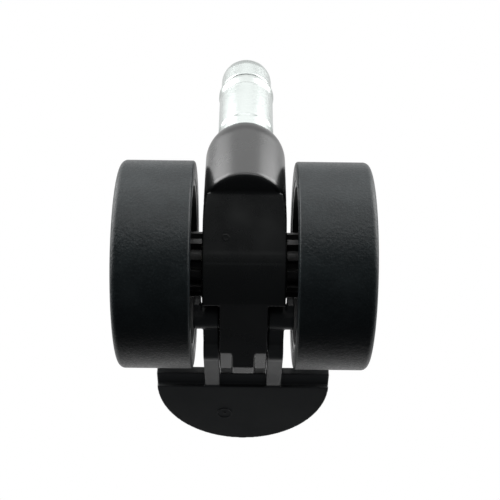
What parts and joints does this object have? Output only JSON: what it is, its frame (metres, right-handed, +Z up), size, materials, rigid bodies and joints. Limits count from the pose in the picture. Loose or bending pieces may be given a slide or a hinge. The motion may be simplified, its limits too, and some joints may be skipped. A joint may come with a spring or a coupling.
{
  "type": "braked twin-wheel caster",
  "caption": "Hoodless twin-wheel swivel caster with a foot brake pedal and a plug-in grip-ring stem, for office furniture.",
  "frame": {"origin": "on the stem axis, at the lower end of the stem's full-size shank", "axes": "+Z up along the stem towards the chair, X along the wheel axle, +Y from the stem to the brake pedal"},
  "size_m": [0.0472, 0.0648, 0.0655],
  "materials": {
    "zinc_steel": "bright zinc plate",
    "spring_steel": "spring steel, oiled",
    "steel": "ground steel",
    "housing_nylon": "satin moulded black nylon",
    "pedal_nylon": "fine moulded texture, black nylon",
    "core_nylon": "moulded black nylon",
    "cap_plastic": "satin moulded black plastic",
    "tyre_rubber": "matte dark grey polyurethane",
    "bearing_plastic": "natural acetal"
  },
  "bodies": {
    "stem": {"stem": "zinc_steel", "grip_ring": "spring_steel", "stem_snap_ring": "spring_steel"},
    "housing": {"housing": "housing_nylon", "stem_bush": "bearing_plastic", "stem_thrust_washer": "steel", "axle": "steel", "brake_pivot_pin": "steel", "left_axle_clip": "spring_steel", "right_axle_clip": "spring_steel", "left_spacer_washer": "bearing_plastic", "right_spacer_washer": "bearing_plastic"},
    "brake_pedal": {"brake_pedal": "pedal_nylon"},
    "left_wheel": {"left_tyre": "tyre_rubber", "left_wheel_core": "core_nylon", "left_wheel_bush": "bearing_plastic", "left_hub_cap": "cap_plastic"},
    "right_wheel": {"right_tyre": "tyre_rubber", "right_wheel_core": "core_nylon", "right_wheel_bush": "bearing_plastic", "right_hub_cap": "cap_plastic"}
  },
  "joints": [
    {"name": "swivel", "type": "hinge", "parent": "stem", "child": "housing", "pos_m": [0, 0, 0], "axis": [0, 0, 1], "continuous": true},
    {"name": "left_wheel_spin", "type": "hinge", "parent": "housing", "child": "left_wheel", "pos_m": [0, 0.0135, -0.0235], "axis": [1, 0, 0], "continuous": true},
    {"name": "right_wheel_spin", "type": "hinge", "parent": "housing", "child": "right_wheel", "pos_m": [0, 0.0135, -0.0235], "axis": [1, 0, 0], "continuous": true},
    {"name": "brake_press", "type": "hinge", "parent": "housing", "child": "brake_pedal", "pos_m": [0, 0.026, -0.033], "axis": [1, 0, 0], "range_deg": [-11, 0]}
  ]
}
